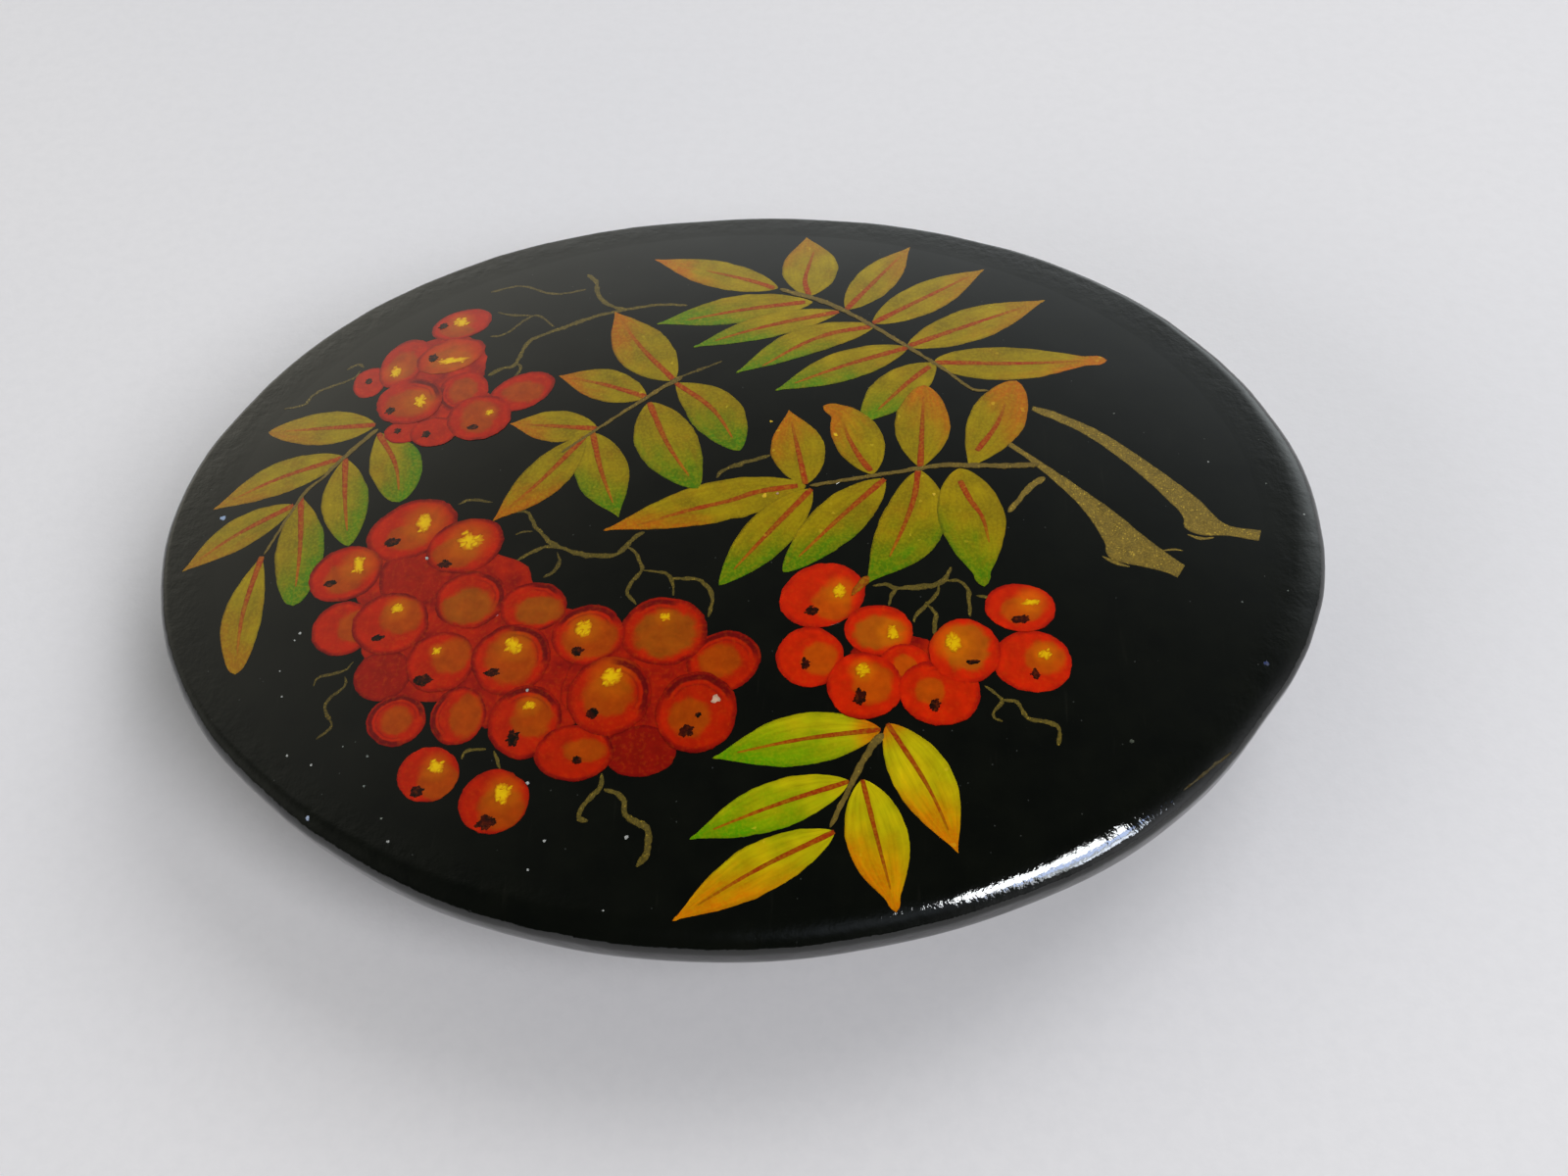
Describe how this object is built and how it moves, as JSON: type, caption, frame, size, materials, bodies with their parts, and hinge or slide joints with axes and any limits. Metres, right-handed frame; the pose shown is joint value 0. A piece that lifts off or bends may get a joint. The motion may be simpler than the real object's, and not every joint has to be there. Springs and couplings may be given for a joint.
{
  "type": "lacquer miniature brooch",
  "caption": "Oval black lacquer brooch painted with rowan berries and leaves, with a bar pin, hinged needle and turning safety catch on the back.",
  "frame": {"origin": "centre of the oval, on the surface that the pin fittings stand on", "axes": "+Z out of the painted face, +X along the oval's long axis towards the catch, +Y towards the top of the picture"},
  "size_m": [0.06, 0.046, 0.0092],
  "materials": {
    "black_lacquer": "papier-mache board under polished black lacquer",
    "glue": "hardened epoxy",
    "plated_steel": "nickel-plated stamping",
    "screw_steel": "turned, slightly dull",
    "needle_steel": "polished spring steel",
    "brass": "drawn brass"
  },
  "bodies": {
    "brooch": {"plaque": "black_lacquer", "glue_bed": "glue", "base_bar": "plated_steel", "bar_screw_left": "screw_steel", "bar_screw_right": "screw_steel", "hinge_bracket": "plated_steel", "hinge_rivet": "screw_steel", "catch_housing": "plated_steel"},
    "needle": {"pin_stem": "needle_steel"},
    "catch": {"catch_roller": "brass"}
  },
  "joints": [
    {"name": "needle_hinge", "type": "hinge", "parent": "brooch", "child": "needle", "pos_m": [-0.0155, 0, 0.002], "axis": [0, 1, 0], "range_deg": [0, 110]},
    {"name": "catch_turn", "type": "hinge", "parent": "brooch", "child": "catch", "pos_m": [0.0155, 0, 0.002], "axis": [-1, 0, 0], "range_deg": [0, 150]}
  ]
}
